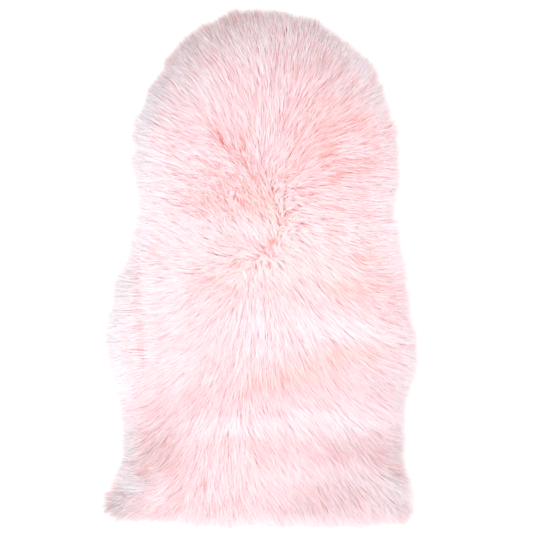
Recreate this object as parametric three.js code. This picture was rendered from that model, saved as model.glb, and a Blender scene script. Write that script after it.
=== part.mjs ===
// A pelt-shaped rug of long pile fabric: one cut piece that lies flat on the floor, pile up.
//
// Millimetres, +Z up. The origin is on the floor, under the middle of the rug's bounding box.
// +Y points to the rounded head end, +X to the right flank seen from above, head end away.

import * as THREE from 'three';
import { mergeVertices } from 'three/addons/utils/BufferGeometryUtils.js';

// Driving dimensions. All of them reach to the tips of the pile, not to the edge of the backing.
const RUG_LENGTH = 1000;
const RUG_WIDTH = 600;
const RIM_DEPTH = 6; // tips of the border pile above the floor
const PILE_DEPTH = 34; // laid pile above the floor, away from the edges
const SHOULDER = 85; // how far in from the tips the pile takes to reach its full depth
const LOCK_RIPPLE = 2.5; // how far the locks of the border push the outline out and in
const LOCKS_ROUND = 37; // locks counted once round the border

// How fine the faceted surface is.
const SPOKES = 160; // points round the outline, an even number
const SHOULDER_RINGS = 6;
const MIDDLE_RINGS = 4;
const SPINE_SHARE = 0.7; // the spine's length as a share of the rug's

// The crown of the head end, where the outline starts.
const HEAD_CROWN = { across: 7, along: 500 };

// The two flanks, from the head down: how far each reaches out from the centre line.
const FLANKS = [
  { place: 'brow', along: 481, left: 90, right: 98 },
  { place: 'temples', along: 446, left: 145, right: 152 },
  { place: 'cheeks', along: 395, left: 189, right: 214 },
  { place: 'jaw', along: 335, left: 221, right: 238 },
  { place: 'neck', along: 270, left: 247, right: 256 },
  { place: 'shoulders', along: 175, left: 245, right: 264 },
  { place: 'waist', along: 108, left: 237, right: 253 },
  { place: 'front of the belly', along: 45, left: 252, right: 268 },
  { place: 'ribs', along: -25, left: 281, right: 276 },
  { place: 'belly', along: -126, left: 300, right: 297 },
  { place: 'back of the belly', along: -190, left: 293, right: 300 },
  { place: 'flank folds', along: -258, left: 272, right: 277 },
  { place: 'hips', along: -330, left: 267, right: 275 },
  { place: 'hocks', along: -396, left: 274, right: 279 },
  { place: 'hind corners', along: -450, left: 298, right: 299 },
];

// The nearly straight tail edge, from the right corner to the left one.
const TAIL_EDGE = [
  { across: 284, along: -482 },
  { across: 190, along: -497 },
  { across: 40, along: -500 },
  { across: -110, along: -497 },
  { across: -220, along: -487 },
  { across: -288, along: -476 },
];

// Soft ridges (depth above zero) and troughs in the laid pile. Each is an oval of that half
// width and half length, turned anticlockwise by a few degrees where it runs uphill.
const FOLDS = [
  { place: 'crown, standing pile', across: 0, along: 100, wide: 75, long: 120, turn: 0, depth: 4 },
  { place: 'parting below the crown', across: -22, along: 40, wide: 30, long: 60, turn: 0, depth: -3 },
  { place: 'belly ridge', across: 60, along: -160, wide: 230, long: 26, turn: 9, depth: 3.5 },
  { place: 'belly trough', across: 30, along: -222, wide: 240, long: 32, turn: 6, depth: -4 },
  { place: 'hip ridge', across: 10, along: -305, wide: 235, long: 30, turn: 4, depth: 3 },
  { place: 'hip trough', across: 0, along: -362, wide: 240, long: 22, turn: 2, depth: -3.5 },
  { place: 'tail ridge', across: -20, along: -412, wide: 240, long: 20, turn: 0, depth: 2.5 },
  { place: 'left flank crease', across: -214, along: -100, wide: 13, long: 110, turn: 4, depth: -4 },
  { place: 'right flank crease', across: 248, along: -85, wide: 12, long: 70, turn: -5, depth: -4 },
  { place: 'left hock swirl', across: -218, along: -404, wide: 22, long: 22, turn: 0, depth: -4 },
  { place: 'right hock notch', across: 262, along: -396, wide: 16, long: 14, turn: 0, depth: -4 },
];

const pileMaterial = new THREE.MeshStandardMaterial({
  color: 0xfad6d6,
  roughness: 0.95,
  metalness: 0,
});

// The closed line through the pile tips, clockwise from the crown of the head end, fitted to
// the rug's length and width and centred on the origin.
function outlinePoints() {
  const rightFlank = FLANKS.map(({ along, right }) => new THREE.Vector2(right, along));
  const leftFlank = FLANKS.map(({ along, left }) => new THREE.Vector2(-left, along)).reverse();
  const tail = TAIL_EDGE.map(({ across, along }) => new THREE.Vector2(across, along));
  const corners = [
    new THREE.Vector2(HEAD_CROWN.across, HEAD_CROWN.along),
    ...rightFlank,
    ...tail,
    ...leftFlank,
  ].map(({ x, y }) => new THREE.Vector3(x, y, 0));

  const curve = new THREE.CatmullRomCurve3(corners, true, 'centripetal');
  const smooth = curve.getSpacedPoints(SPOKES).slice(0, SPOKES);
  const rippled = smooth.map((point, index) => pushedByLocks(point, smooth, index));
  return fitted(rippled);
}

// Moves one outline point out or in, square to the outline, by an uneven ripple of locks.
function pushedByLocks(point, line, index) {
  const before = line[(index + SPOKES - 1) % SPOKES];
  const after = line[(index + 1) % SPOKES];
  const outward = new THREE.Vector3(before.y - after.y, after.x - before.x, 0).normalize();
  const angle = (2 * Math.PI * index) / SPOKES;
  const ripple = 0.6 * Math.sin(LOCKS_ROUND * angle) + 0.4 * Math.sin(1.7 * LOCKS_ROUND * angle + 1);
  return point.clone().addScaledVector(outward, LOCK_RIPPLE * ripple);
}

function fitted(points) {
  const box = new THREE.Box3().setFromPoints(points);
  const middle = box.getCenter(new THREE.Vector3());
  const size = box.getSize(new THREE.Vector3());
  const stretch = new THREE.Vector3(RUG_WIDTH / size.x, RUG_LENGTH / size.y, 1);
  return points.map((point) => point.clone().sub(middle).multiply(stretch));
}

// The spine is where the rings close: one point for each pair of outline points that face each
// other across the rug, so the left and the right side share it.
function spinePoint(outline, index) {
  const facing = outline[(SPOKES - index) % SPOKES];
  return outline[index].clone().add(facing).multiplyScalar(SPINE_SHARE / 2);
}

function foldDepth(x, y) {
  return FOLDS.reduce((sum, fold) => {
    const turn = THREE.MathUtils.degToRad(fold.turn);
    const dx = x - fold.across;
    const dy = y - fold.along;
    const u = (dx * Math.cos(turn) + dy * Math.sin(turn)) / fold.wide;
    const v = (dy * Math.cos(turn) - dx * Math.sin(turn)) / fold.long;
    return sum + fold.depth * Math.exp(-(u * u + v * v));
  }, 0);
}

// The pile's depth at a point that lies inset from the outline: it rolls over from the rim.
function pileDepth(point, inset) {
  const rise = Math.min(inset / SHOULDER, 1);
  const roll = Math.sqrt(1 - (1 - rise) ** 2);
  return RIM_DEPTH + roll * (PILE_DEPTH - RIM_DEPTH + foldDepth(point.x, point.y));
}

// How far in from the outline each ring lies on a spoke of that length.
function ringInsets(spokeLength) {
  const insets = [];
  for (let ring = 0; ring < SHOULDER_RINGS; ring += 1) {
    insets.push(SHOULDER * (1 - Math.cos((Math.PI / 2) * (ring / SHOULDER_RINGS))));
  }
  for (let ring = 0; ring <= MIDDLE_RINGS; ring += 1) {
    insets.push(SHOULDER + (spokeLength - SHOULDER) * (ring / MIDDLE_RINGS));
  }
  return insets;
}

// One line of points up each spoke: the foot of the rim, then the rings, in to the spine.
function spokeLines(outline) {
  return outline.map((tip, index) => {
    const spine = spinePoint(outline, index);
    const length = tip.distanceTo(spine);
    const rings = ringInsets(length).map((inset) => {
      const point = tip.clone().lerp(spine, inset / length);
      point.z = pileDepth(point, inset);
      return point;
    });
    return [tip, ...rings];
  });
}

function peltGeometry() {
  const outline = outlinePoints();
  const spokes = spokeLines(outline);
  const corners = [];
  const addTriangle = (a, b, c) => {
    for (const { x, y, z } of [a, b, c]) corners.push(x, y, z);
  };

  // The rim and the top: a strip of quads between each spoke and the next one, clockwise.
  const meets = (a, b) => a.distanceTo(b) < 1e-6;
  spokes.forEach((spoke, index) => {
    const next = spokes[(index + 1) % SPOKES];
    for (let step = 0; step + 1 < spoke.length; step += 1) {
      const [near, far] = [spoke[step], spoke[step + 1]];
      const [nearNext, farNext] = [next[step], next[step + 1]];
      addTriangle(near, far, nearNext);
      if (!meets(far, farNext)) addTriangle(nearNext, far, farNext);
    }
  });

  // The flat underside.
  const flat = outline.map(({ x, y }) => new THREE.Vector2(x, y));
  for (const [a, b, c] of THREE.ShapeUtils.triangulateShape(flat, [])) {
    const counterClockwise =
      (flat[b].x - flat[a].x) * (flat[c].y - flat[a].y) >
      (flat[b].y - flat[a].y) * (flat[c].x - flat[a].x);
    if (counterClockwise) addTriangle(outline[a], outline[c], outline[b]);
    else addTriangle(outline[a], outline[b], outline[c]);
  }

  const loose = new THREE.BufferGeometry();
  loose.setAttribute('position', new THREE.Float32BufferAttribute(corners, 3));
  const closed = mergeVertices(loose, 1e-4);
  closed.computeVertexNormals();
  return closed;
}

const pelt = new THREE.Mesh(peltGeometry(), pileMaterial);
pelt.name = 'pelt';

const rug = new THREE.Group();
rug.add(pelt);

export default rug;
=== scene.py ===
"""The looks of a pelt-shaped pile rug: its backing, its pile, strand by strand, and a plain stage.

Lengths are in metres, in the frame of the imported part: +Z up, +Y to the head end. The tables of
places on the rug are in millimetres, across (to the right) and along (to the head end).
"""

import functools
import math
from typing import NamedTuple

import bmesh
import bpy
import numpy as np
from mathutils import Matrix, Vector
from mathutils.bvhtree import BVHTree


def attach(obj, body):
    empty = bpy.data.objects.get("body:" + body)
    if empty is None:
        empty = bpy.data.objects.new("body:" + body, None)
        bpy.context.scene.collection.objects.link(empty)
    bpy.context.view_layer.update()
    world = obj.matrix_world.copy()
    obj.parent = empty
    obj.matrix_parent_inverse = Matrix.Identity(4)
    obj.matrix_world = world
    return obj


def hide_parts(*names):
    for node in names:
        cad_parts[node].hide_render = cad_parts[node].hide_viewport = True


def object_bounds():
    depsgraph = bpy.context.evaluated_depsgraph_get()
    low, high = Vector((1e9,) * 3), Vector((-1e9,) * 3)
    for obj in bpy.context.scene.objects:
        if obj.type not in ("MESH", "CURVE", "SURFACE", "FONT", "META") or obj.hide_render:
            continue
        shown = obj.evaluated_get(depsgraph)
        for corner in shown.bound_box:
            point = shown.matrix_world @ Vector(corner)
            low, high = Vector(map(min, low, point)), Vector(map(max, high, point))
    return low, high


bl_info = {
    "name": "Pelt-shaped pile rug",
    "version": (1, 0, 0),
    "blender": (4, 5, 0),
    "location": "View3D > Sidebar > Rug",
    "description": "Makes a long pile rug strand by strand around its packed solid",
    "category": "Object",
}

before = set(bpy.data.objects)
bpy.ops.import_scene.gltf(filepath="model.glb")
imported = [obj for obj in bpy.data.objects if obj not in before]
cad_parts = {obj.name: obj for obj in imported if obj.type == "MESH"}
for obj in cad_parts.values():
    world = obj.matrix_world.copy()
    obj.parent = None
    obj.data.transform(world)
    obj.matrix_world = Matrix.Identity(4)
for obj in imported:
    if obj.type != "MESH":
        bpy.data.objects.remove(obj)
CAD_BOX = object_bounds()
(LEFT, TAIL, FLOOR), (RIGHT, HEAD, TOP) = CAD_BOX

MM = 0.001
PELT_NODE = "pelt"
PILE_PIECES = ("pile_head", "pile_shoulders", "pile_back", "pile_belly", "pile_rump")
PILE_MAP = "OFBake"  # u: how grey a strand is, which is painted shade, or warmer; v: how pale, which is dye and also painted light and shade


class Lie(NamedTuple):
    """Which way the pile lies at a place, in degrees clockwise from the head end's direction."""

    place: str
    across: float
    along: float
    heading: float


class Patch(NamedTuple):
    """A soft oval on the rug, as wide and long to each side, and what the pile does there."""

    place: str
    across: float
    along: float
    wide: float
    long: float
    slope: float = 0  # degrees that the oval is turned anticlockwise
    pale: float = 0  # paler, or deeper below 0, which is painted light and shade as well as dye
    cool: float = 0  # greyer, which is painted shade, or warmer below 0
    streaks: float = 0  # locks that differ more and are gathered closer
    longer: float = 0  # longer strands, as a share of their length
    rim: float = 0  # where given, only strands that end this near the outline take its colour
    turn: float = 0  # degrees that the lie turns clockwise
    dip: float = 0  # how far strands sag towards the tail end there
    parts: bool = False  # strands that would cross it from the right end there


class Layer(NamedTuple):
    """A layer of strands."""

    spacing: float  # millimetres
    width: float  # of a strand, in millimetres
    reach: float  # a strand's length as a share of its lock's
    low: float  # its levels, as shares of the laid pile's depth
    high: float
    paler: float  # how much paler it is than the rug; below 0, painted shade for a layer deeper in the pile
    share: float  # how much of the paler patches, which are painted light in part, shows on it
    sections: tuple  # where a strand's sections lie, from its root to its tip
    taper: tuple  # how wide it is at each of them


# The crown is where the pile is shorter, stands up, and lies every way. In the parting beside it
# the pile stands upright.
CROWN = Patch("crown", -58, 130, 82, 92)
PARTING = Patch("parting", 24, 120, 55, 72)

# In between these places the lie turns smoothly.
LIE = (
    Lie("brow", 0, 460, -15),
    Lie("left temple", -130, 400, -45),
    Lie("forehead, left", -40, 390, -33),
    Lie("forehead, right", 90, 390, 12),
    Lie("right temple", 150, 385, 32),
    Lie("left cheek", -200, 310, -55),
    Lie("forehead", 20, 345, -5),
    Lie("right of the forehead", 110, 335, 38),
    Lie("right cheek", 190, 310, 50),
    Lie("left jaw", -130, 260, -73),
    Lie("ahead on the left", -60, 275, -30),
    Lie("ahead of the crown", 0, 265, -5),
    Lie("ahead on the right", 55, 285, 27),
    Lie("right jaw", 135, 250, 78),
    Lie("left of the neck", -190, 180, -74),
    Lie("left of the crown", -100, 200, -76),
    Lie("crown, ahead on the left", -55, 185, -62),
    Lie("crown, ahead", -20, 225, -20),
    Lie("crown, ahead, middle", 17, 215, 15),
    Lie("crown, ahead on the right", 60, 200, 43),
    Lie("right of the neck", 150, 185, 100),
    Lie("left shoulder", -140, 125, -79),
    Lie("crown, far left", -90, 112, -38),
    Lie("crown, left", -42, 132, -27),
    Lie("crown, middle", 12, 125, -28),
    Lie("crown, right", 62, 125, 112),
    Lie("right of the crown", 75, 155, 92),
    Lie("right shoulder", 190, 110, 100),
    Lie("right border, shoulder", 250, 100, 75),
    Lie("behind the left shoulder", -190, 60, -68),
    Lie("crown, behind on the far left", -125, 50, -57),
    Lie("crown, behind on the left", -60, 50, -60),
    Lie("crown, behind, middle", 5, 65, -40),
    Lie("crown, behind on the right", 50, 50, 128),
    Lie("behind the right shoulder", 175, 40, 112),
    Lie("left of the saddle", -170, -5, -82),
    Lie("saddle, far left", -100, -5, -90),
    Lie("saddle, left", -55, -12, -120),
    Lie("saddle", -20, -35, -178),
    Lie("saddle, right", 20, -5, 145),
    Lie("saddle, far right", 95, -10, 140),
    Lie("right of the saddle", 180, -10, 128),
    Lie("right border, ribs", 245, 0, 62),
    Lie("left flank", -235, -70, -97),
    Lie("left ribs", -165, -50, -108),
    Lie("left of the spine", -95, -50, -142),
    Lie("beside the spine", -50, -60, -160),
    Lie("spine", 0, -80, 172),
    Lie("right of the spine", 60, -70, 150),
    Lie("right ribs", 130, -75, 135),
    Lie("right flank", 205, -95, 126),
    Lie("right border, belly", 250, -50, 85),
    Lie("right border, hip", 250, -145, 113),
    Lie("left flank, behind", -215, -150, -92),
    Lie("left belly", -140, -140, -124),
    Lie("left of the loin", -60, -180, -155),
    Lie("back of the spine", 0, -190, 180),
    Lie("right of the loin", 80, -180, 152),
    Lie("left hip", -215, -230, -122),
    Lie("left loin", -110, -250, -148),
    Lie("loin", 5, -260, 160),
    Lie("right loin", 70, -260, 134),
    Lie("right hip", 190, -255, 128),
    Lie("left border, hip", -258, -290, -95),
    Lie("left rump", -170, -335, -140),
    Lie("rump", -75, -340, -170),
    Lie("rump, right of the spine", 0, -340, 148),
    Lie("right rump", 150, -345, 147),
    Lie("right border, rump", 255, -345, 116),
    Lie("left hock", -262, -365, -75),
    Lie("inside the left hock", -215, -365, -142),
    Lie("left hind corner", -262, -426, -98),
    Lie("left hind corner, behind", -252, -450, -138),
    Lie("inside the left hind corner", -205, -440, -116),
    Lie("tail, left", -150, -450, -145),
    Lie("tail", -80, -440, 170),
    Lie("tail, right of the middle", 20, -440, 146),
    Lie("tail, right", 130, -455, 148),
    Lie("right hind corner", 235, -455, 138),
)

# Where the pile kinks over a crease in the backing.
CREASES = (
    Patch("left flank", -211, -75, 9, 120, slope=4.6, dip=4, parts=True),
    Patch("left hock", -218, -404, 30, 26, turn=40),
    Patch("right hock", 255, -392, 22, 20, turn=-30),
)

# Where the pile is painted paler or deeper, which is painted light and shade in bands over its folds and
# troughs and painted shade in its creases, folds and hollows, as well as dye; painted greyer where shade
# falls at the head end, the borders and the corners; or warmer, more streaked, or longer.
LIGHT_SHADE_AND_TONES = (
    Patch("head", -20, 520, 260, 112, pale=-0.09, cool=0.27),
    Patch("head, edge", 0, 490, 320, 170, pale=-0.12, cool=0.13, rim=7),
    Patch("head crown", -50, 462, 55, 24, pale=-0.12, cool=0.03),
    Patch("head, left border", -122, 484, 100, 30, slope=32, pale=0.3, rim=14),
    Patch("left brow", -95, 448, 60, 22, slope=28, pale=-0.1, cool=0.02),
    Patch("forehead, middle", -10, 352, 45, 40, pale=-0.06),
    Patch("forehead, pale", 30, 408, 30, 22, pale=0.16),
    Patch("forehead, pale on the left", -38, 418, 26, 15, pale=0.16),
    Patch("forehead, pale behind", 46, 322, 22, 22, pale=0.16),
    Patch("between the ears", 0, 268, 16, 24, pale=0.18),
    Patch("behind the forehead", 50, 305, 190, 85, cool=0.035),
    Patch("upper forehead", -70, 393, 110, 28, slope=27, pale=0.06, cool=-0.04),
    Patch("left temple", -205, 410, 110, 80, pale=-0.02, cool=0.18),
    Patch("left jaw, pale", -140, 335, 40, 20, pale=0.16),
    Patch("left cheek", -240, 300, 60, 100, pale=0.25, cool=0.12, rim=22),
    Patch("left cheek, inner", -185, 315, 40, 60, pale=-0.06, cool=0.05),
    Patch("right temple", 190, 405, 80, 80, pale=0.2, cool=0.07),
    Patch("brow", 102, 400, 50, 36, pale=-0.3, cool=0.05),
    Patch("right cheek", 145, 275, 110, 92, pale=-0.34, cool=0.02),
    Patch("right jaw", 128, 235, 18, 18, pale=-0.2),
    Patch("right jaw, pale", 176, 240, 28, 26, pale=0.26),
    Patch("right cheek, behind", 185, 328, 50, 20, pale=-0.12, cool=0.03),
    Patch("right neck", 172, 190, 80, 24, slope=8, pale=-0.22),
    Patch("right border, neck", 226, 240, 24, 20, pale=-0.22),
    Patch("left jaw", -160, 258, 62, 22, pale=-0.18),
    Patch("left jaw, pale behind", -150, 210, 26, 22, pale=0.14),
    Patch("right shoulder", 190, 106, 42, 18, pale=-0.14),
    Patch("right border, cheek", 262, 340, 50, 90, pale=0.24, cool=0.08, rim=24),
    Patch("forehead", -90, 325, 90, 30, pale=0.05),
    Patch("left neck", -165, 130, 95, 160, pale=0.36),
    Patch("ahead of the crown", -52, 225, 76, 12, slope=-49, pale=-0.48, cool=0.05),
    Patch("ahead of the crown, right", 36, 214, 22, 20, pale=-0.14),
    Patch("crown, pale tuft", -62, 143, 18, 26, pale=0.38),
    Patch("crown, depths", -25, 132, 26, 24, pale=-0.38, cool=-0.02),
    Patch("crown, depths on the left", -98, 125, 20, 24, pale=-0.04),
    Patch("crown, white tufts", -66, 84, 80, 16, slope=6, pale=0.42),
    Patch("crown, right", 62, 66, 36, 30, pale=0.24),
    Patch("crown, behind", -55, 52, 50, 9, pale=-0.24),
    Patch("crown, behind on the left", -84, 56, 34, 26, pale=-0.2),
    Patch("behind the parting", 0, 28, 70, 36, pale=0.34, streaks=-0.3),
    Patch("parting", 14, 120, 60, 30, slope=-50, pale=0.16, cool=-0.06, streaks=-0.4),
    Patch("left border", -285, 100, 80, 260, pale=0.5, cool=0.13, rim=16),
    Patch("left belly border", -310, -150, 60, 90, pale=0.5, cool=0.08, rim=16),
    Patch("left belly border, behind", -236, -163, 20, 24, pale=0.24),
    Patch("left border, ribs", -275, -20, 44, 60, cool=0.09, rim=24),
    Patch("left crease", -206, -70, 12, 80, pale=-0.14),
    Patch("left belly", -240, -100, 20, 85, pale=0.26),
    Patch("saddle", 40, 8, 150, 50, pale=0.2, cool=-0.03),
    Patch("left of the saddle", -96, -32, 62, 32, pale=-0.42),
    Patch("left of the saddle, ahead", -92, 16, 30, 15, pale=-0.16),
    Patch("behind the left shoulder", -140, 55, 50, 30, pale=0.2),
    Patch("right of the saddle", 175, -42, 70, 22, pale=-0.2, cool=-0.03),
    Patch("right ribs, pale", 95, -58, 32, 22, pale=0.13),
    Patch("ahead of the saddle", 140, 58, 90, 22, pale=0.18),
    Patch("beside the neck", 130, 186, 26, 16, pale=-0.06),
    Patch("saddle spot", 205, 18, 30, 16, pale=-0.22, cool=-0.02),
    Patch("belly", 142, -114, 110, 26, slope=-4, pale=0.44),
    Patch("loin", 20, -162, 45, 24, pale=0.24),
    Patch("loin, left", -60, -128, 30, 20, pale=0.14),
    Patch("left flank, pale", -200, -50, 80, 40, pale=0.28),
    Patch("belly trough", 62, -205, 120, 22, slope=9, pale=-0.15, cool=-0.03),
    Patch("belly trough, right", 150, -166, 85, 13, slope=6, pale=-0.08, cool=-0.05),
    Patch("behind the trough", 0, -240, 210, 16, slope=2, pale=-0.17),
    Patch("right hip border", 220, -225, 52, 32, pale=0.1, cool=0.07),
    Patch("back", -10, -75, 60, 70, pale=0.2),
    Patch("right hip", 130, -296, 110, 28, pale=0.33),
    Patch("left flank", -170, -160, 80, 70, pale=0.1),
    Patch("left loin", -178, -285, 66, 42, pale=-0.2, cool=0.05),
    Patch("left border, hip", -262, -310, 26, 40, pale=0.08, cool=0.07),
    Patch("left hip", -210, -350, 48, 50, pale=-0.28, cool=0.18),
    Patch("inside the left hip", -162, -385, 44, 38, pale=-0.12, cool=0.05),
    Patch("left rump", -225, -440, 40, 40, pale=-0.12, cool=0.02),
    Patch("rump", -65, -306, 95, 20, pale=0.34),
    Patch("hind trough", 20, -344, 160, 15, pale=-0.15),
    Patch("behind the hind trough", 20, -401, 170, 16, pale=0.15, cool=-0.01),
    Patch("tail trough", 20, -457, 170, 16, pale=-0.15),
    Patch("left hock", -268, -362, 34, 48, pale=0.32, cool=0.16, streaks=1.5),
    Patch("left hock swirl", -218, -404, 15, 13, pale=-0.4, cool=0.22, streaks=0.6),
    Patch("left hock fold", -244, -379, 15, 4, pale=-0.4, cool=0.25),
    Patch("left hock streak", -244, -420, 42, 13, slope=8, pale=0.35, cool=0.02),
    Patch("left corner fold, ahead", -262, -431, 24, 4, pale=-0.3, cool=0.24),
    Patch("left corner fold, behind", -268, -456, 18, 4, pale=-0.25, cool=0.2),
    Patch("left corner tuft", -200, -441, 13, 8, pale=0.3),
    Patch("left corner, pale", -292, -488, 36, 18, pale=0.5, cool=0.1),
    Patch("left corner, edge", -297, -450, 16, 28, pale=0.4),
    Patch("left hind corner", -285, -450, 48, 46, pale=-0.02, cool=0.33, streaks=1.8),
    Patch("left corner strands", -258, -448, 50, 44, longer=0.8),
    Patch("left of the tail", -205, -485, 70, 22, pale=-0.25, cool=0.03),
    Patch("right rump", 190, -348, 85, 34, pale=-0.18, cool=0.135),
    Patch("right of the tail", 160, -438, 110, 28, pale=-0.1, cool=0.12),
    Patch("right of the tail, ahead", 182, -400, 56, 18, pale=0.02, cool=0.07),
    Patch("right of the tail, behind", 95, -462, 60, 13, pale=0.03, cool=0.08),
    Patch("right hock", 258, -372, 36, 34, pale=-0.08, cool=0.1, streaks=0.9),
    Patch("right hock notch", 261, -396, 15, 3.5, slope=-38, pale=-1, cool=0.3),
    Patch("behind the notch", 266, -418, 24, 16, slope=-30, pale=0.3, cool=0.08),
    Patch("right hind corner", 262, -456, 45, 38, pale=0.16, cool=0.06, streaks=1.3, longer=0.5),
    Patch("right corner, edge", 286, -466, 22, 22, cool=0.14),
    Patch("right flank", 300, -120, 50, 150, pale=0.2, cool=0.08, rim=20),
    Patch("right border, hip", 282, -300, 32, 70, cool=0.08, rim=18),
    Patch("right crease", 258, -56, 16, 34, slope=18, pale=-0.5, cool=0.02, streaks=0.9),
    Patch("right belly", 258, -118, 30, 40, pale=-0.05, streaks=1),
    Patch("right shoulder border", 270, 150, 50, 90, pale=0.3, cool=0.06, rim=24),
    Patch("middle of the tail", -60, -440, 150, 60, streaks=-0.2),
    Patch("tail border", 20, -500, 230, 28, pale=0.12),
)

# Long guard strands lie on top, and shorter and deeper ones under them, painted deeper for the shade low
# in the pile.
LAYERS = (
    Layer(
        spacing=2.0, width=1.15, reach=1.0, low=0.76, high=1.05, paler=0.03, share=1.0,
        sections=(0.0, 0.25, 0.6, 1.0), taper=(0.8, 1.0, 0.9, 0.0),
    ),
    Layer(
        spacing=3.9, width=1.9, reach=0.75, low=0.6, high=0.86, paler=-0.15, share=0.3,
        sections=(0.0, 0.5, 1.0), taper=(0.8, 1.0, 0.0),
    ),
)

# How much locks, tufts of locks and strands differ by chance. Angles are in degrees, bends and
# ends in millimetres, and the rest are shares.
LOCKS_DIFFER = {"reach": 0.12, "bend": 1.6, "level": 0.05, "dye": 0.16, "end": 4}
TUFTS_DIFFER = {"heading": 4, "bend": 1.2, "level": 0.03, "dye": 0.05, "end": 6}
STRANDS_DIFFER = {
    "reach": 0.1, "bend": 0.7, "end": 5, "width": 0.18, "roll": 20, "twist": 16, "dye": 0.13,
    "cool": 0.012,
}

# The pile's map: the usual place on it of a strand's tip, how wide a strand is on it, and its edges.
USUAL_COOL, USUAL_PALE = 0.094, 0.97
MAP_WIDTH = 0.008
COOL_LIMITS = (0.005, 0.985)
PALE_LIMITS = (0.005, 0.995)


def linear(hex_colour):
    """An sRGB hex colour as linear RGBA, which is what Blender's sockets hold."""
    shares = [int(hex_colour[i : i + 2], 16) / 255 for i in (0, 2, 4)]
    return (*(c / 12.92 if c <= 0.04045 else ((c + 0.055) / 1.055) ** 2.4 for c in shares), 1.0)


def share_of(name, description, default, least=0.0):
    """A plain number in the sidebar."""
    return bpy.props.FloatProperty(name=name, description=description, default=default, min=least)


def length_of(name, description, millimetres):
    """A length in the sidebar."""
    return bpy.props.FloatProperty(
        name=name, description=description, default=millimetres * MM, unit="LENGTH"
    )


def dye_of(name, description, hex_colour):
    """A colour in the sidebar."""
    return bpy.props.FloatVectorProperty(
        name=name, description=description, default=linear(hex_colour), subtype="COLOR", size=4
    )


class RugSizes(bpy.types.PropertyGroup):
    """The sizes of the rug's pile and backing."""

    seed: bpy.props.IntProperty(name="Seed", description="Start of the random draws", default=7, min=0)
    spacing: share_of("Spacing", "How far apart the strands are, against the usual", 1.0, least=0.5)
    width: share_of("Width", "How wide the strands are, against the usual", 1.0, least=0.2)
    strand_reach: length_of("Strand reach", "From root to tip seen from above", 56)
    crown_reach: length_of("Reach at the crown", "The same where the pile stands up", 24)
    lock_spacing: length_of("Lock spacing", "Between two locks of strands", 3.2)
    tuft_spacing: length_of("Tuft spacing", "Between two tufts of locks", 17)
    foot: share_of("Foot", "Share of the depth where strands are too close to tell apart", 0.58)
    fringe: length_of("Fringe", "How far the pile reaches past the backing", 36)
    backing_depth: length_of("Backing depth", "Thickness of the backing", 2.5)


class RugColours(bpy.types.PropertyGroup):
    """The colours of the rug's pile and backing: dyes, and in the pile's root, shade and cool colours also
    painted shade.
    """

    # Dye, and painted shade: the pile's deepest colour, low in the pile.
    root: dye_of("Root", "Deep dye at the roots", "ff9886")
    # Painted shade between the locks and low in the pile.
    shade: dye_of("Shade", "Between the locks", "ffd3cf")
    body: dye_of("Body", "Most of a strand", "ffe9ed")
    tip: dye_of("Tip", "Pale tips", "fefafd")
    # Painted shade: the grey at the head end, the borders and the corners.
    cool: dye_of("Cool shade", "Greyer pile at the borders", "bab6b6")
    warm: dye_of("Warm shade", "Peachier pile along the back", "fffcf5")
    backing: dye_of("Backing", "Underside", "ece2dc")


def smoothstep(low, high, value):
    share = np.clip((value - low) / (high - low), 0, 1)
    return share * share * (3 - 2 * share)


def oval(places, patch):
    """How much each place lies in the patch: 1 in its middle, falling to 0."""
    turn = math.radians(patch.slope)
    dx, dy = (places - np.array([patch.across, patch.along]) * MM).T
    u = (dx * math.cos(turn) + dy * math.sin(turn)) / (patch.wide * MM)
    v = (dy * math.cos(turn) - dx * math.sin(turn)) / (patch.long * MM)
    return np.exp(-(u * u + v * v))


def toned(places, effect):
    """The sum of one effect of all the tones, such as their streaks, at each place."""
    return sum(getattr(patch, effect) * oval(places, patch) for patch in LIGHT_SHADE_AND_TONES)


def rotated(directions, angles):
    """Flat unit directions, turned anticlockwise by those angles in radians."""
    c, s = np.cos(angles), np.sin(angles)
    x, y = directions.T
    return np.stack([c * x - s * y, s * x + c * y], axis=1)


def unit(vectors):
    """The vectors made 1 long, apart from those that have no length."""
    return vectors / np.maximum(np.linalg.norm(vectors, axis=-1, keepdims=True), 1e-9)


class Waves:
    """Smooth uneven noise from -1 to 1, whose swells are about size apart."""

    def __init__(self, random, size, count=9):
        angles = random.uniform(0, 2 * math.pi, count)
        pace = 2 * math.pi / size * random.uniform(0.6, 1.5, count)
        self.pace = np.stack([np.cos(angles), np.sin(angles)]) * pace
        self.phase = random.uniform(0, 2 * math.pi, count)

    def at(self, places):
        return np.clip(np.sin(places @ self.pace + self.phase).mean(axis=1) * 2, -1, 1)


class Grid:
    """Numbers on a square grid over the rug, read at any place between its points."""

    STEP = 2.5 * MM
    MARGIN = 45 * MM

    def __init__(self, values=None):
        self.low = np.array([LEFT, TAIL]) - self.MARGIN
        counts = (np.array([RIGHT - LEFT, HEAD - TAIL]) + 2 * self.MARGIN) / self.STEP
        self.shape = tuple(int(n) + 2 for n in counts)
        self.values = values

    def places(self):
        x, y = np.meshgrid(*(np.arange(n) * self.STEP for n in self.shape), indexing="ij")
        return np.stack([x.ravel(), y.ravel()], axis=1) + self.low

    def filled(self, values):
        return Grid(values.reshape(self.shape))

    def at(self, places):
        spot = (places - self.low) / self.STEP
        spot = np.clip(spot, 0, np.array(self.shape) - 1.001)
        i, j = spot.astype(int).T
        u, v = (spot - spot.astype(int)).T
        g = self.values
        near = g[i, j] * (1 - u) + g[i + 1, j] * u
        far = g[i, j + 1] * (1 - u) + g[i + 1, j + 1] * u
        return near * (1 - v) + far * v


def softened(values, rounds):
    for _ in range(rounds):
        padded = np.pad(values, 1, mode="edge")
        values = (padded[:-2, 1:-1] + padded[2:, 1:-1] + padded[1:-1, :-2] + padded[1:-1, 2:]) / 4
    return values


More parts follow.
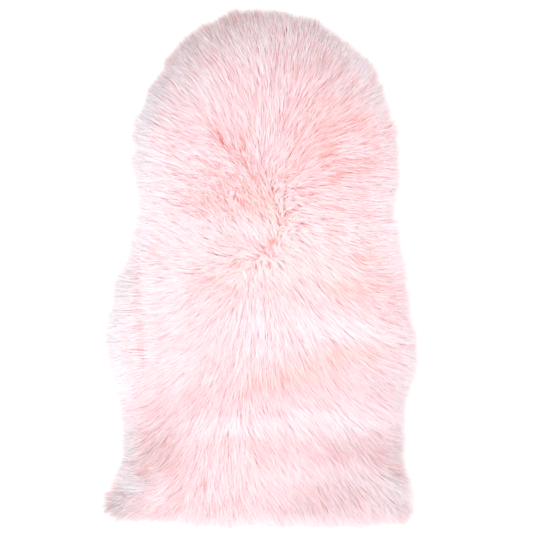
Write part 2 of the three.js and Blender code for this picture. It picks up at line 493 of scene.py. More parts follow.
class Pelt:
    """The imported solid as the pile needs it: its outline, how far in from it a place lies, the top
    over it, the lie of the pile there, and where the lie parts."""

    RIM_DEPTH = 5 * MM  # the least depth of the pile
    LIE_BLEND = 18 * MM  # a table's place rules alone over about this distance
    SQUARE_TO_EDGE = 0.3  # share of the outward direction in the lie at the outline
    EDGE = (60 * MM, 5 * MM)  # how far in that share starts, and is full
    SPREAD = 40  # millimetres over which a lie that spreads by its own length leaves a full gap

    def __init__(self, node):
        mesh = node.data
        corners = np.array([v.co for v in mesh.vertices], float)
        foot = corners[:, 2] < 0.01 * MM
        rim = np.unique(np.round(corners[foot][:, :2], 6), axis=0)
        self.outline = rim[np.argsort(np.arctan2(rim[:, 1], rim[:, 0]))]

        grid = Grid()
        places = grid.places()
        self.inset = grid.filled(self._insets(places))
        slope_x, slope_y = np.gradient(softened(self.inset.values, rounds=30), Grid.STEP)
        self.out_x, self.out_y = grid.filled(-slope_x), grid.filled(-slope_y)
        self.top = grid.filled(self._tops(places, corners, mesh))

        across, along = (part.reshape(grid.shape) for part in self.lie(places).T)
        spread = np.gradient(across, Grid.STEP, axis=0) + np.gradient(along, Grid.STEP, axis=1)
        self.parting = grid.filled(np.clip(softened(spread, rounds=12) * self.SPREAD * MM, 0, 1))

    def _insets(self, places):
        """How far in from the outline each place lies, in metres, and below 0 outside."""
        nearest = np.full(len(places), np.inf)
        inside = np.zeros(len(places), bool)
        x, y = places.T
        for a, b in zip(self.outline, np.roll(self.outline, -1, axis=0), strict=True):
            side = b - a
            share = np.clip((places - a) @ side / (side @ side), 0, 1)
            nearest = np.minimum(nearest, np.linalg.norm(places - a - share[:, None] * side, axis=1))
            if a[1] != b[1]:
                crosses = (a[1] > y) != (b[1] > y)
                inside ^= crosses & (x < side[0] * (y - a[1]) / side[1] + a[0])
        return np.where(inside, nearest, -nearest)

    def _tops(self, places, corners, mesh):
        tree = BVHTree.FromPolygons(corners.tolist(), [tuple(p.vertices) for p in mesh.polygons])
        above, down = TOP + 1, Vector((0, 0, -1))
        rim = FLOOR + self.RIM_DEPTH
        tops = []
        for x, y in places:
            spot = tree.ray_cast(Vector((x, y, above)), down)[0]
            tops.append(max(spot.z, rim) if spot else rim)
        return np.array(tops)

    def outward(self, places):
        return unit(np.stack([self.out_x.at(places), self.out_y.at(places)], axis=1))

    def drawn_in(self, distance):
        """The outline drawn in by that distance."""
        return self.outline - self.outward(self.outline) * distance

    def lie(self, places):
        """The flat direction in which the pile lies at each place: blended from the table's places,
        nearer ones more, and a little more square to the outline near it."""
        blend = np.zeros(places.shape)
        for row in LIE:
            gap = ((places - np.array([row.across, row.along]) * MM) ** 2).sum(axis=1)
            heading = math.radians(row.heading)
            ahead = np.array([math.sin(heading), math.cos(heading)])
            blend += ahead / ((gap + self.LIE_BLEND**2) ** 1.8)[:, None]
        edge = self.SQUARE_TO_EDGE * smoothstep(*self.EDGE, self.inset.at(places))[:, None]
        mixed = unit(unit(blend) * (1 - edge) + self.outward(places) * edge)
        return rotated(mixed, sum(-math.radians(crease.turn) * oval(places, crease) for crease in CREASES))


@functools.cache
def packed_pelt():
    """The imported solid, measured once for all the pieces."""
    return Pelt(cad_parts[PELT_NODE])


def scattered(random, spacing, pelt, fringe):
    """Places on the backing, about that far apart, none in rows."""
    rows = np.arange(TAIL, HEAD, spacing * math.sqrt(0.75))
    across = np.arange(LEFT, RIGHT, spacing)
    x, y = np.meshgrid(across, rows)
    x = x + (np.arange(len(rows)) % 2)[:, None] * spacing / 2
    places = np.stack([x.ravel(), y.ravel()], axis=1)
    places += random.uniform(-0.5, 0.5, places.shape) * spacing
    return places[pelt.inset.at(places) > fringe]


def nearest_lock(places, locks, spacing):
    """The index of the lock nearest to each place."""
    low = locks.min(axis=0) - spacing
    cells = {}
    for index, cell in enumerate(map(tuple, ((locks - low) // spacing).astype(int))):
        cells.setdefault(cell, []).append(index)
    own = ((places - low) // spacing).astype(int)
    order = np.lexsort(own.T)
    starts = np.flatnonzero(np.any(np.diff(own[order], axis=0, prepend=-9), axis=1))
    beside = [(a, b) for a in range(-2, 3) for b in range(-2, 3)]
    nearest = np.zeros(len(places), int)
    for group in np.split(order, starts[1:]):
        i, j = own[group[0]]
        around = [index for a, b in beside for index in cells.get((i + a, j + b), ())]
        gaps = np.linalg.norm(places[group][:, None] - locks[around][None], axis=2)
        nearest[group] = np.array(around)[gaps.argmin(axis=1)]
    return nearest


class Locks:
    """The locks that the strands of both layers gather in, each with its own lie, reach and bend,
    drawn in a little towards the middle of its tuft."""

    SWIRLS = ((70, 7), (26, 8))  # millimetres between swirls, and degrees that they turn the lie
    LOOSE = {"anywhere": 4, "crown": 24, "upright": 32}  # degrees that their headings differ by
    PATTERN = 60  # millimetres between the waves that push the lie about and tint it
    WANDER = 9  # millimetres that they push it
    STRAY = 12 * MM  # how far off locks take their lie from where the pile stands
    UPRIGHT = {"shorter": 0.45, "straighter": 0.5}  # what standing upright does
    DRAWN_IN = {"least": 0.0, "most": 0.45, "border": 0.4, "limit": 0.9}  # to the tuft's middle
    AHEAD = 0.8  # share of its reach at which a lock meets the lie that it turns to
    MOST_TURN = 0.8
    LIVELY = {"usual": 0.9, "tail": -0.5, "crown": 1.05, "least": 0.25}  # how much strands differ
    DEEPER = {"share": 0.16, "most": 0.5}  # the locks that are dyed a good deal deeper
    STREAKED = {"gathered": 0.3, "lively": 0.6, "ragged": 0.7}  # what a tone's streaks add

    def __init__(self, random, sizes, pelt):
        self.random = random
        self.pelt = pelt
        self.spacing = sizes.lock_spacing
        self.places = scattered(random, self.spacing, pelt, sizes.fringe - 2 * MM)
        self.standing = oval(self.places, CROWN)
        parting = pelt.parting.at(self.places)
        self.parted = np.maximum(self.standing, parting)
        self.upright = smoothstep(0.4, 0.9, parting) * oval(self.places, PARTING)
        self.reach = self._reach(sizes)

        self.tufts = scattered(random, sizes.tuft_spacing, pelt, sizes.fringe - 12 * MM)
        self.tuft = nearest_lock(self.places, self.tufts, sizes.tuft_spacing)
        self.tuft_streaks = toned(self.tufts, "streaks")
        self.lie = self._gathered(self._loose_lie())
        self.turn = self._turn()
        self.bend = self._by_lock("bend", MM) * (1 - self.UPRIGHT["straighter"] * self.upright)
        self.bend += self._by_tuft("bend", MM)
        self.wave = self._between(0.7, 1.5)
        self.level = self._level()
        self.lively = self._lively()
        self.pale = self._pale()
        self.uneven = self._between(0.3, 1.7)
        self.pull = self._between(0.1, 0.9)
        self.feather = self._feather()

    def _by_lock(self, trait, scale=1):
        return self.random.normal(0, LOCKS_DIFFER[trait] * scale, len(self.places))

    def _by_tuft(self, trait, scale=1):
        """One draw for each tuft, which its locks share."""
        return self.random.normal(0, TUFTS_DIFFER[trait] * scale, len(self.tufts))[self.tuft]

    def _between(self, low, high):
        return self.random.uniform(low, high, len(self.places))

    def _waves(self, size):
        return Waves(self.random, size * MM).at(self.places)

    def _reach(self, sizes):
        """How far a lock reaches from its root, seen from above."""
        reach = sizes.strand_reach + (sizes.crown_reach - sizes.strand_reach) * self.standing
        reach = reach * np.exp(self._by_lock("reach")) * (1 - self.UPRIGHT["shorter"] * self.upright)
        return reach * (1 + toned(self.places, "longer"))

    def _loose_lie(self):
        """The lie of the pile at each lock, with swirls, and loose where the pile stands."""
        swirl = sum(self._waves(size) * degrees for size, degrees in self.SWIRLS)
        spread = self.LOOSE["anywhere"] + self.LOOSE["crown"] * self.standing
        spread += self.LOOSE["upright"] * self.upright
        loose = self.random.normal(0, 1, len(self.places)) * spread + self._by_tuft("heading")
        wander = [self._waves(self.PATTERN), self._waves(self.PATTERN)]
        wander = np.stack(wander, axis=1) * self.WANDER * MM
        strayed = self.random.normal(0, self.STRAY, self.places.shape) * self.parted[:, None]
        lie = self.pelt.lie(self.places + wander + strayed)
        return rotated(lie, np.radians(swirl + loose))

    def _gathered(self, lie):
        """The lie once each lock is drawn in towards the middle of its tuft, most at the border."""
        drawn = self.DRAWN_IN
        gathered = self.random.uniform(drawn["least"], drawn["most"], len(self.tufts))
        border = smoothstep(70 * MM, 40 * MM, self.pelt.inset.at(self.tufts))
        gathered += drawn["border"] * border
        gathered += self.STREAKED["gathered"] * self.tuft_streaks
        drawn = np.clip(gathered, 0, drawn["limit"])[self.tuft][:, None]
        aside = (self.places - self.tufts[self.tuft]) * drawn
        return unit(lie * self.reach[:, None] - aside + lie * (aside * lie).sum(axis=1)[:, None])

    def _turn(self):
        """How much a lock swerves towards the lie ahead of it, where that is much the same way."""
        ahead = self.pelt.lie(self.places + self.lie * self.reach[:, None] * self.AHEAD)
        turn = self.lie[:, 0] * ahead[:, 1] - self.lie[:, 1] * ahead[:, 0]
        alike = smoothstep(-0.2, 0.4, (self.lie * ahead).sum(axis=1))
        return np.clip(turn, -self.MOST_TURN, self.MOST_TURN) * (1 - self.parted) * alike

    def _level(self):
        """How high a lock lies, as a share of its layer's level."""
        count = len(self.places)
        level = self.random.normal(1.0, LOCKS_DIFFER["level"], count) + self._by_tuft("level")
        return level + (0.06 + self.random.normal(0, 0.08, count)) * self.standing

    def _lively(self):
        """How much the strands of a lock differ: less towards the tail, more at the crown."""
        tail = smoothstep(60 * MM, -200 * MM, self.places[:, 1])
        lively = self.LIVELY["usual"] + self.LIVELY["tail"] * tail
        lively += self.LIVELY["crown"] * self.standing
        lively += self.STREAKED["lively"] * toned(self.places, "streaks")
        return np.maximum(lively, self.LIVELY["least"])

    def _pale(self):
        """How much paler a lock is dyed."""
        dyed = self._by_lock("dye")
        deeper = self._between(0, self.DEEPER["most"])
        dyed -= deeper * (self.random.random(len(self.places)) < self.DEEPER["share"])
        pale = dyed * self.lively + self._by_tuft("dye")
        return pale + 0.05 * self._waves(self.PATTERN)

    def _feather(self):
        """How far in from the outline a lock ends, in metres, or past it below 0."""
        ragged = TUFTS_DIFFER["end"] * MM * (1 + self.STREAKED["ragged"] * self.tuft_streaks)
        by_lock = self.random.normal(2 * MM, LOCKS_DIFFER["end"] * MM, len(self.places))
        return by_lock + (self.random.normal(0.1, 1, len(self.tufts)) * ragged)[self.tuft]


class Strands:
    """One layer of the pile as arrays: each strand's centre line, width, roll and colour, which is dye
    with painted light and shade.
    """

    STANDS = 3.2  # how steeply strands rise at the root
    SAGS = 0.1  # how far their tips sink again
    ROOT_DEPTH = 0.6  # share of the backing's depth at which they start
    LEAST_HEIGHT = 0.8 * MM
    INNER = 0.35  # usual distance from the middle of the lock, as a share of the lock spacing
    TONED_AT = 0.7  # share of its reach at which a strand takes on the table's tones and painted light and shade
    STRAYS = 0.012  # share of the strands that leave their lock
    STRAY = {"level": 1.12, "width": 0.6, "pull": 0.1}  # against the other strands
    LOOSE = {"anywhere": 4, "crown": 6, "strays": 22}  # degrees that their headings differ by
    CROWN_FINER = 0.3
    LOWERED = {"within": 20 * MM, "share": 0.55, "least": 0.12}  # strands of the border

    def __init__(self, random, sizes, pelt, locks, layer):
        self.random = random
        self.sizes = sizes
        self.pelt = pelt
        self.locks = locks
        self.layer = layer
        self.sections = np.array(layer.sections)
        self.taper = np.array(layer.taper)
        coarse = 1
        self.roots = self._roots(layer.spacing * MM * sizes.spacing * coarse)
        self.count = len(self.roots)
        self.lock = nearest_lock(self.roots, locks.places, locks.spacing)
        self.stray = random.random(self.count) < self.STRAYS
        self.lie, self.reach = self._lie_and_reach()
        self.outer = np.linalg.norm(self.roots - locks.places[self.lock], axis=1) / locks.spacing
        self.level = self._level()
        self.lines = self._lines()

        width = layer.width * MM * sizes.width * coarse * np.exp(self._differ("width"))
        width *= 1 - self.CROWN_FINER * oval(self.roots, CROWN)
        self.width = np.where(self.stray, self.STRAY["width"] * width, width)
        self.roll = np.radians(self._differ("roll"))
        self.twist = np.radians(self._differ("twist"))
        # How deep a strand's colour is at its root: dye, and painted shade low in the pile.
        self.deep = random.uniform(0.05, 0.3, self.count)
        self.pale, self.cool = self._dye_light_and_shade()

    def _differ(self, trait, scale=1):
        return self.random.normal(0, STRANDS_DIFFER[trait] * scale, self.count)

    def _roots(self, spacing):
        """Where strands stand on the backing: closer at the crown and where the lie parts."""
        roots = scattered(self.random, spacing, self.pelt, self.sizes.fringe)
        more = [scattered(self.random, spacing, self.pelt, self.sizes.fringe) for _ in range(2)]
        more = np.concatenate(more)
        parting = self.pelt.parting.at(more)
        wanted = 0.5 * parting + 0.25 * oval(more, CROWN)
        wanted += smoothstep(0.4, 0.8, parting) * (0.3 + 0.7 * oval(more, PARTING))
        return np.concatenate([roots, more[self.random.random(len(more)) < wanted]])

    def _lie_and_reach(self):
        spread = self.LOOSE["anywhere"] + self.LOOSE["crown"] * oval(self.roots, CROWN)
        spread = np.where(self.stray, self.LOOSE["strays"], spread)
        loose = self.random.normal(0, 1, self.count) * spread
        lie = rotated(self.locks.lie[self.lock], np.radians(loose))
        reach = self.locks.reach[self.lock] * self.layer.reach * np.exp(self._differ("reach"))
        return lie, reach

    def _level(self):
        """How high a strand lies, as a share of the laid pile's depth: lower off the middle of its
        lock, and at the border any height down to the floor."""
        layer = self.layer
        sunk = (layer.high - layer.low) * self.random.random(self.count) ** 1.3
        sunk *= self.locks.lively[self.lock]
        level = self.locks.level[self.lock] * (layer.high - sunk)
        level -= 0.1 * (self.outer - self.INNER)
        level = np.where(self.stray, self.STRAY["level"] * level, level)
        past_the_edge = self.pelt.inset.at(self.roots) - self.sizes.fringe
        border = smoothstep(self.LOWERED["within"], 0, past_the_edge)
        lowered = self.random.random(self.count) < self.LOWERED["share"] * border
        low = level * self.random.uniform(self.LOWERED["least"], 1, self.count)
        return np.where(lowered, low, level)

    def _lines(self):
        """The centre lines: each section's place on the rug, and its height."""
        flat = self._trimmed(self._gathered())
        for crease in CREASES:
            if crease.parts:
                flat = self._parted(flat, crease)
            sag = crease.dip * MM * oval(flat.reshape(-1, 2), crease)
            flat[..., 1] -= sag.reshape(self.count, -1)
        ground = FLOOR + self.sizes.backing_depth * self.ROOT_DEPTH
        top = self.pelt.top.at(flat.reshape(-1, 2)).reshape(self.count, -1)
        rise = 1 - (1 - self.sections) ** self.STANDS - self.SAGS * self.sections**3
        height = ground + (top - ground) * rise * self.level[:, None]
        height = np.maximum(height, FLOOR + self.LEAST_HEIGHT)
        return np.concatenate([flat, height[:, :, None]], axis=2)

    def _gathered(self):
        """The strands seen from above, each drawn in towards the middle line of its lock."""
        locks, lock = self.locks, self.lock
        share = self.sections[None, :, None]
        wave, turn = locks.wave[lock], locks.turn[lock]

        def line(place, way, length, bend):
            side = np.stack([-way[:, 1], way[:, 0]], axis=1)[:, None, :]
            bow = np.sin(math.pi * share * wave[:, None, None])
            run = way[:, None, :] * length[:, None, None] * share**1.12
            swerve = side * (turn * length)[:, None, None] * share**2 * 0.6
            return place[:, None, :] + run + swerve + side * bend[:, None, None] * bow

        bend = locks.bend[lock] + self._differ("bend", MM)
        own = line(self.roots, self.lie, self.reach, bend)
        length = locks.reach[lock] * self.layer.reach
        shared = line(locks.places[lock], locks.lie[lock], length, locks.bend[lock])
        pull = locks.pull[lock] * self.random.uniform(0.4, 0.9, self.count)
        pull = np.where(self.stray, self.STRAY["pull"], pull)[:, None, None] * share**1.1
        return own * (1 - pull) + shared * pull

    def _trimmed(self, flat):
        """The strands shortened, so that none ends past the outline, give or take some feathering.
        The outline bends, so that takes a few rounds."""
        feather = self.locks.feather[self.lock] - np.abs(self._differ("end", MM))
        feather = np.maximum(feather, -20 * MM)
        root = self.roots[:, None, :]
        for _ in range(3):
            tip = flat[:, -1]
            over = np.maximum(0, feather - self.pelt.inset.at(tip))
            keep = 1 - over / np.maximum(np.linalg.norm(tip - self.roots, axis=1), 1 * MM)
            flat = root + (flat - root) * np.clip(keep, 0.25, 1)[:, None, None]
        return flat

    def _parted(self, flat, crease):
        """Strands that would cross the crease from its right-hand side mostly end soon past it."""
        turn = math.radians(crease.slope)
        middle = np.array([crease.across, crease.along]) * MM
        beyond = (flat - middle) @ np.array([math.cos(turn), math.sin(turn)])
        along = (flat[:, -1] - middle) @ np.array([-math.sin(turn), math.cos(turn)])
        faded = smoothstep(0.8, 1.2, np.abs(along) / (crease.long * MM))
        slack = 6 * MM + np.abs(self.random.normal(0, 16 * MM, self.count)) + faded * 60 * MM
        run = beyond[:, 0] - beyond[:, -1]
        crosses = (beyond[:, 0] > 2 * MM) & (beyond[:, -1] < -slack)
        keep = np.where(crosses, (beyond[:, 0] + slack) / np.maximum(run, 1 * MM), 1)
        root = flat[:, :1]
        return root + (flat - root) * np.clip(keep, 0.2, 1)[:, None, None]

    def _dye_light_and_shade(self):
        """How pale and how cool each strand is: dye that differs at random, painted shade that makes it
        deeper where it lies low and off the middle of its lock, and the table's tones and painted light
        and shade.
        """
        locks, lock, layer = self.locks, self.lock, self.layer
        pale = USUAL_PALE + layer.paler + locks.pale[lock]
        # Painted shade: strands that lie lower, or off the middle of their lock, are painted deeper.
        drawn = self._differ("dye") + 1.2 * (self.level - 0.93) - 0.2 * (self.outer - self.INNER)
        pale += drawn * locks.lively[lock]
        inset = self.pelt.inset.at(self.lines[:, -1, :2])
        border = smoothstep(24 * MM, 0, inset)
        pale += 0.05 * border
        cool = USUAL_COOL - np.abs(self._differ("cool"))
        reach = np.minimum(self.reach, 1.1 * self.sizes.strand_reach)
        middle = self.roots + self.lie * reach[:, None] * self.TONED_AT
        # The table's painted light and shade: paler and deeper patches, and painted grey shade that is
        # uneven from lock to lock.
        for tone in LIGHT_SHADE_AND_TONES:
            here = oval(middle, tone)
            if tone.rim:
                here = here * smoothstep(tone.rim * MM, 0, inset)
            pale += tone.pale * here * (layer.share if tone.pale > 0 else 1)
            cool += tone.cool * here * (locks.uneven[lock] if tone.cool > 0 else 1)
        return np.maximum(pale, 0.5 * border), cool

    def ribbons(self, chosen):
        """The chosen strands' points, two for each section and one at the tip, and their colours on the
        pile's map.
        """
        lines = self.lines[chosen]
        along = unit(np.gradient(lines, axis=1))
        across = unit(np.cross(along, np.array([0.0, 0.0, 1.0])))
        up = np.cross(across, along)
        roll = (self.roll[chosen][:, None] + self.twist[chosen][:, None] * self.sections)[:, :, None]
        half = (self.width[chosen][:, None] * self.taper / 2)[:, :, None]
        offset = (across * np.cos(roll) + up * np.sin(roll)) * half
        pairs = np.stack([lines - offset, lines + offset], axis=2)[:, :-1]
        points = np.concatenate([pairs.reshape(len(lines), -1, 3), lines[:, -1:]], axis=1)
        # From the deep root to the strand's own paleness at the tip: dye, and painted shade low in the
        # pile.
        pale = self.deep[chosen][:, None] + (self.pale - self.deep)[chosen][:, None] * self.sections
        return points, np.clip(self.cool[chosen], *COOL_LIMITS), np.clip(pale, *PALE_LIMITS)


def ribbon_arrays(points, cool, pale):
    """One layer's ribbons as flat arrays: points, corners, sides of each face, places on the map."""
    count, per = points.shape[:2]
    steps = (per - 3) // 2
    quads = [[2 * k, 2 * k + 1, 2 * k + 3, 2 * k + 2] for k in range(steps)]
    pattern = np.concatenate([np.ravel(quads), [per - 3, per - 2, per - 1]]).astype(int)
    corners = (np.arange(count)[:, None] * per + pattern).ravel()
    sides = np.tile([4] * steps + [3], count)
    side = np.append(np.tile([0.0, 1.0], steps + 1), 0.5) * MAP_WIDTH
    level = np.append(np.repeat(np.arange(steps + 1), 2), steps + 1)
    spots = np.stack([(cool[:, None] + side)[:, pattern], pale[:, level][:, pattern]], axis=2)
    return points.reshape(-1, 3), corners, sides, spots.reshape(-1, 2)


def map_dye_and_shade(mesh, spots):
    """Shades the mesh smooth, and gives each of its corners its place on the pile's map."""
    mesh.polygons.foreach_set("use_smooth", np.ones(len(mesh.polygons), bool))
    layer = mesh.uv_layers.new(name=PILE_MAP)
    layer.uv.foreach_set("vector", spots.astype(np.float32).ravel())


def strands_mesh(name, layers):
    """One joined mesh of the layers' ribbons: quads up each strand and a triangle at its tip."""
    points, corners, sides, spots = zip(*layers, strict=True)
    starts = np.cumsum([0] + [len(own) for own in points[:-1]])
    corners = [own + start for own, start in zip(corners, starts, strict=True)]
    points, corners, sides, spots = map(np.concatenate, (points, corners, sides, spots))
    mesh = bpy.data.meshes.new(name)
    mesh.vertices.add(len(points))
    mesh.vertices.foreach_set("co", points.astype(np.float32).ravel())
    mesh.loops.add(len(corners))
    mesh.loops.foreach_set("vertex_index", corners.astype(np.int32))
    mesh.polygons.add(len(sides))
    mesh.polygons.foreach_set("loop_start", (np.cumsum(sides) - sides).astype(np.int32))
    map_dye_and_shade(mesh, spots)
    mesh.update(calc_edges=True)
    mesh.validate()
    return mesh


def add_node(tree, kind, settings=None, inputs=None, stops=()):
    """Adds a node, sets its settings and a ramp's colour stops, and sets each input or links it to
    another node's output."""
    node = tree.nodes.new(kind)
    for name, value in (settings or {}).items():
        setattr(node, name, value)
    for _ in stops[2:]:
        node.color_ramp.elements.new(0.5)
    for k, (place, colour) in enumerate(stops):
        node.color_ramp.elements[k].position = place
        node.color_ramp.elements[k].color = colour
    for key, value in (inputs or {}).items():
        if isinstance(value, bpy.types.NodeSocket):
            tree.links.new(value, node.inputs[key])
        else:
            node.inputs[key].default_value = value
    return node


def new_material(name):
    material = bpy.data.materials.new(name)
    material.use_nodes = True
    material.node_tree.nodes.clear()
    return material, material.node_tree


def pile_material(name, colours, see_through):
    """Dyed acrylic pile: soft fibres, deep at the root and pale at the tip, which let some light
    through where they are loose. Its colours come from the pile's map, so the deep ones are also
    painted shade low in the pile, and the grey is painted shade."""
    material, tree = new_material(name)
    place = add_node(tree, "ShaderNodeUVMap", {"uv_map": PILE_MAP})
    parts = add_node(tree, "ShaderNodeSeparateXYZ", inputs={"Vector": place.outputs["UV"]})
    # From the root's deep colour to the pale tip: the deeper stops are painted shade low in the pile as
    # well as dye.
    warm = add_node(
        tree, "ShaderNodeValToRGB", inputs={"Fac": parts.outputs["Y"]},
        stops=((0.0, colours.root), (0.3, colours.shade), (0.62, colours.body), (0.95, colours.tip)),
    )
    # Painted shade: greyer where the map's u is higher, warmer below the usual.
    grey = add_node(
        tree, "ShaderNodeValToRGB", inputs={"Fac": parts.outputs["X"]},
        stops=((0.0, colours.warm), (0.1, (1, 1, 1, 1)), (1.0, colours.cool)),
    )
    mixed = add_node(
        tree, "ShaderNodeMix", {"data_type": "RGBA", "blend_type": "MULTIPLY"},
        {0: 1.0, 6: warm.outputs["Color"], 7: grey.outputs["Color"]},
    )
    dye = mixed.outputs[2]
    fibre = add_node(
        tree, "ShaderNodeBsdfPrincipled",
        inputs={
            "Base Color": dye, "Roughness": 0.6, "Specular IOR Level": 0.1,
            "Sheen Weight": 0.1, "Sheen Roughness": 0.5,
        },
    )
    through = add_node(tree, "ShaderNodeBsdfTranslucent", inputs={"Color": dye})
    both = add_node(
        tree, "ShaderNodeMixShader",
        inputs={0: see_through, 1: fibre.outputs[0], 2: through.outputs[0]},
    )
    add_node(tree, "ShaderNodeOutputMaterial", inputs={"Surface": both.outputs[0]})
    return material


def backing_material(colours):
    """Warp-knitted backing, brushed: matt and fuzzy, with ribs 1.4 mm apart."""
    rib_pitch = 1.4 * MM
    bands_at_scale_one = 3.2  # in a metre, roughly
    fuzz_marks = 420.0  # in a metre
    shaded = (*(c * 0.86 for c in colours.backing[:3]), 1.0)
    material, tree = new_material("knitted_backing")
    place = add_node(tree, "ShaderNodeTexCoord")
    ribs = add_node(
        tree, "ShaderNodeTexWave", {"bands_direction": "X"},
        {
            "Vector": place.outputs["Object"], "Scale": 1 / rib_pitch / bands_at_scale_one,
            "Distortion": 1.5, "Detail": 2.0,
        },
    )
    fuzz = add_node(
        tree, "ShaderNodeTexNoise",
        inputs={"Vector": place.outputs["Object"], "Scale": fuzz_marks, "Detail": 5.0},
    )
    bump = add_node(
        tree, "ShaderNodeBump",
        inputs={"Strength": 0.5, "Distance": 0.4 * MM, "Height": ribs.outputs["Fac"]},
    )
    colour = add_node(
        tree, "ShaderNodeValToRGB", inputs={"Fac": fuzz.outputs["Fac"]},
        stops=((0.3, shaded), (0.7, colours.backing)),
    )
    cloth = add_node(
        tree, "ShaderNodeBsdfPrincipled",
        inputs={"Base Color": colour.outputs["Color"], "Roughness": 0.9, "Normal": bump.outputs[0]},
    )
    add_node(tree, "ShaderNodeOutputMaterial", inputs={"Surface": cloth.outputs[0]})
    return material


def floor_material():
    """Matt white paint."""
    material, tree = new_material("painted_floor")
    paint = add_node(
        tree, "ShaderNodeBsdfPrincipled", inputs={"Base Color": linear("fefefe"), "Roughness": 0.9}
    )
    add_node(tree, "ShaderNodeOutputMaterial", inputs={"Surface": paint.outputs[0]})
    return material


def finished_mesh(shape, name):
    """The bmesh's shape as a mesh, and the bmesh let go."""
    mesh = bpy.data.meshes.new(name)
    shape.to_mesh(mesh)
    shape.free()
    return mesh


def placed(name, data):
    """A new object of the scene at the origin."""
    thing = bpy.data.objects.new(name, data)
    bpy.context.scene.collection.objects.link(thing)
    return thing


def new_piece(name, mesh, material):
    """Adds a mesh as a piece of the rug, with its material."""
    piece = placed(name, mesh)
    mesh.materials.append(material)
    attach(piece, "root")
    return piece


def backing_shape(line, depth):
    """A slab inside the line, with a band round its edge."""
    shape = bmesh.new()
    face = shape.faces.new([shape.verts.new((x, y, FLOOR)) for x, y in line])
    bmesh.ops.inset_region(shape, faces=[face], thickness=6 * MM, depth=0, use_even_offset=True)
    grown = bmesh.ops.extrude_face_region(shape, geom=list(shape.faces))
    lifted = [v for v in grown["geom"] if isinstance(v, bmesh.types.BMVert)]
    bmesh.ops.translate(shape, verts=lifted, vec=(0, 0, depth))
    bmesh.ops.recalc_face_normals(shape, faces=list(shape.faces))
    bmesh.ops.triangulate(shape, faces=[f for f in shape.faces if len(f.verts) > 4])
    return shape


def gridded_pad(line, ground, step):
    """A flat pad inside the line, cut into squares."""
    shape = bmesh.new()
    shape.faces.new([shape.verts.new((x, y, ground)) for x, y in line])
    for axis, low, high in ((0, LEFT, RIGHT), (1, TAIL, HEAD)):
        for place in np.arange(low, high, step):
            point, normal = [0, 0, 0], [0, 0, 0]
            point[axis], normal[axis] = place, 1
            everything = [*shape.verts, *shape.edges, *shape.faces]
            bmesh.ops.bisect_plane(shape, geom=everything, plane_co=point, plane_no=normal)
    return shape


class RUG_OT_backing(bpy.types.Operator):
    """Cuts the knitted backing to the pelt's outline, inside the fringe"""

    bl_idname = "rug.backing"
    bl_label = "Backing"

    PAST_THE_PILE = 0.92  # share of the fringe that hangs past its edge

    def execute(self, context):
        sizes = context.scene.rug_sizes
        line = packed_pelt().drawn_in(sizes.fringe * self.PAST_THE_PILE)
        mesh = finished_mesh(backing_shape(line, sizes.backing_depth), "backing")
        material = backing_material(context.scene.rug_colours)
        piece = new_piece("backing", mesh, material)
        return {"FINISHED"}


class RUG_OT_foot(bpy.types.Operator):
    """Lays the dense foot of the pile on the backing, as one domed pad"""

    bl_idname = "rug.foot"
    bl_label = "Foot of the pile"

    STEP = 8 * MM
    ROLL = 30 * MM  # how far in from its edge it takes to rise
    ROUGH = {"waves": 0.12, "apart": 12 * MM, "grain": 0.06}
    # The foot is painted deep, which is painted shade low in the pile, and paler where the pile parts.
    PALE = {"least": 0.2, "uneven": 0.25, "parted": 0.25}
    COOL = {"usual": 0.1, "parted": -0.04}

    def execute(self, context):
        sizes = context.scene.rug_sizes
        pelt = packed_pelt()
        random = np.random.default_rng(sizes.seed)
        ground = FLOOR + sizes.backing_depth
        shape = gridded_pad(pelt.drawn_in(sizes.fringe), ground, self.STEP)

        places = np.array([v.co[:2] for v in shape.verts])
        rise = np.clip((pelt.inset.at(places) - sizes.fringe) / self.ROLL, 0, 1)
        rolled = np.sqrt(1 - (1 - rise) ** 2)
        waves = Waves(random, self.ROUGH["apart"]).at(places)
        rough = 1 + self.ROUGH["waves"] * waves + random.normal(0, self.ROUGH["grain"], len(places))
        lift = (pelt.top.at(places) - ground) * sizes.foot * rolled * rough
        for vert, height in zip(shape.verts, lift, strict=True):
            vert.co.z = ground + max(float(height), 0)
        bmesh.ops.triangulate(shape, faces=list(shape.faces))
        bmesh.ops.contextual_create(shape, geom=[edge for edge in shape.edges if edge.is_boundary])
        bmesh.ops.recalc_face_normals(shape, faces=list(shape.faces))
        bmesh.ops.triangulate(shape, faces=list(shape.faces))
        mesh = finished_mesh(shape, "pile_foot")

        parting = pelt.parting.at(np.array([v.co[:2] for v in mesh.vertices]))
        uneven = random.uniform(0, self.PALE["uneven"], len(parting))
        pale = self.PALE["least"] + uneven + self.PALE["parted"] * parting
        cool = self.COOL["usual"] + self.COOL["parted"] * parting
        corners = [loop.vertex_index for loop in mesh.loops]
        map_dye_and_shade(mesh, np.stack([cool, pale], axis=1)[corners])
        material = pile_material("dense_acrylic_pile", context.scene.rug_colours, see_through=0.0)
        new_piece("pile_foot", mesh, material)
        return {"FINISHED"}


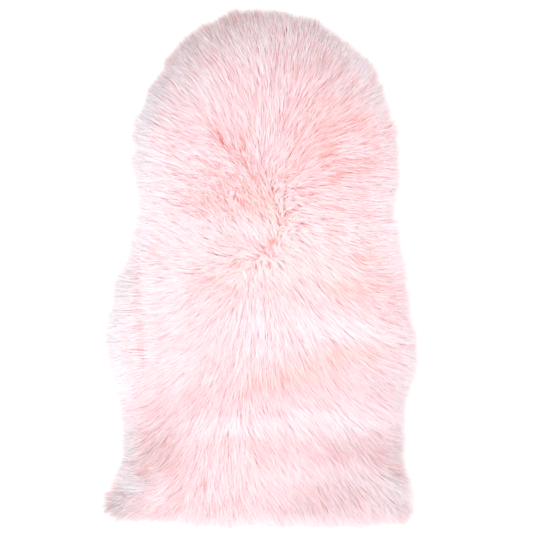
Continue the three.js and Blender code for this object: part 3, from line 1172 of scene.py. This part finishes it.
class RUG_OT_pile(bpy.types.Operator):
    """Grows the pile strand by strand, in a few joined pieces from the head to the rump"""

    bl_idname = "rug.pile"
    bl_label = "Pile"

    def execute(self, context):
        sizes = context.scene.rug_sizes
        pelt = packed_pelt()
        random = np.random.default_rng(sizes.seed)
        locks = Locks(random, sizes, pelt)
        layers = [Strands(random, sizes, pelt, locks, layer) for layer in LAYERS]
        material = pile_material("loose_acrylic_pile", context.scene.rug_colours, see_through=0.15)
        alongs = np.concatenate([layer.roots[:, 1] for layer in layers])
        cuts = np.quantile(alongs, np.linspace(1, 0, len(PILE_PIECES) + 1))
        cuts[0], cuts[-1] = pelt.outline[:, 1].max(), pelt.outline[:, 1].min()
        for name, front, back in zip(PILE_PIECES, cuts, cuts[1:], strict=False):
            parts = []
            for layer in layers:
                along = layer.roots[:, 1]
                chosen = np.flatnonzero((along <= front) & (along > back))
                parts.append(ribbon_arrays(*layer.ribbons(chosen)))
            piece = new_piece(name, strands_mesh(name, parts), material)
            if name == PILE_PIECES[0]:
                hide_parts(PELT_NODE)
        return {"FINISHED"}


class RUG_OT_stage(bpy.types.Operator):
    """Lays a pale floor, and sets the soft lights and the camera"""

    bl_idname = "rug.stage"
    bl_label = "Stage"

    BOUNCES = 64  # light goes from strand to strand many times in pale pile
    LENS = 85
    EYE = (16.8 * MM, -1 * MM, 2.465)  # where that lens takes in the whole rug
    LAMPS = (
        {"name": "key", "place": (-1.6, -0.9, 1.9), "size": 1.2, "power": 20},
        {"name": "fill", "place": (1.7, 0.6, 2.0), "size": 1.6, "power": 6},
        {"name": "back", "place": (0.2, 2.0, 1.8), "size": 1.4, "power": 4},
    )

    def execute(self, context):
        scene = context.scene
        scene.view_settings.view_transform = "Standard"
        scene.cycles.max_bounces = self.BOUNCES
        scene.cycles.diffuse_bounces = self.BOUNCES
        scene.cycles.transmission_bounces = self.BOUNCES
        self.lay_floor()
        scene.world = self.studio()
        for lamp in self.LAMPS:
            self.hang(**lamp)
        scene.camera = self.camera()
        return {"FINISHED"}

    def lay_floor(self):
        shape = bmesh.new()
        bmesh.ops.create_grid(shape, x_segments=1, y_segments=1, size=6)
        floor = placed("floor", finished_mesh(shape, "floor"))
        floor.data.materials.append(floor_material())

    def studio(self):
        world = bpy.data.worlds.new("studio")
        world.use_nodes = True
        light = world.node_tree.nodes["Background"].inputs
        light["Color"].default_value = (1, 1, 1, 1)
        light["Strength"].default_value = 1.03
        return world

    def hang(self, name, place, size, power):
        data = bpy.data.lights.new(name, "AREA")
        data.size = size
        data.energy = power
        lamp = placed(name, data)
        lamp.location = place
        lamp.rotation_euler = (-Vector(place)).to_track_quat("-Z", "Y").to_euler()

    def camera(self):
        """Straight above the rug, looking down."""
        data = bpy.data.cameras.new("camera")
        data.lens = self.LENS
        camera = placed("camera", data)
        camera.location = self.EYE
        return camera


class RUG_PT_panel(bpy.types.Panel):
    """Lists the rug's sizes, dyes and pieces"""

    bl_label = "Rug"
    bl_idname = "RUG_PT_panel"
    bl_space_type = "VIEW_3D"
    bl_region_type = "UI"
    bl_category = "Rug"

    def draw(self, context):
        for group in (context.scene.rug_sizes, context.scene.rug_colours):
            box = self.layout.box()
            for name in group.__annotations__:
                box.prop(group, name)
        for operator in OPERATORS:
            self.layout.operator(operator.bl_idname)


OPERATORS = (RUG_OT_backing, RUG_OT_foot, RUG_OT_pile, RUG_OT_stage)
CLASSES = (RugSizes, RugColours, *OPERATORS, RUG_PT_panel)


def register():
    for cls in CLASSES:
        bpy.utils.register_class(cls)
    bpy.types.Scene.rug_sizes = bpy.props.PointerProperty(type=RugSizes)
    bpy.types.Scene.rug_colours = bpy.props.PointerProperty(type=RugColours)


def unregister():
    del bpy.types.Scene.rug_colours
    del bpy.types.Scene.rug_sizes
    for cls in reversed(CLASSES):
        bpy.utils.unregister_class(cls)


def main():
    register()
    bpy.ops.rug.backing()
    bpy.ops.rug.foot()
    bpy.ops.rug.pile()
    bpy.ops.rug.stage()


if __name__ == "__main__":
    main()
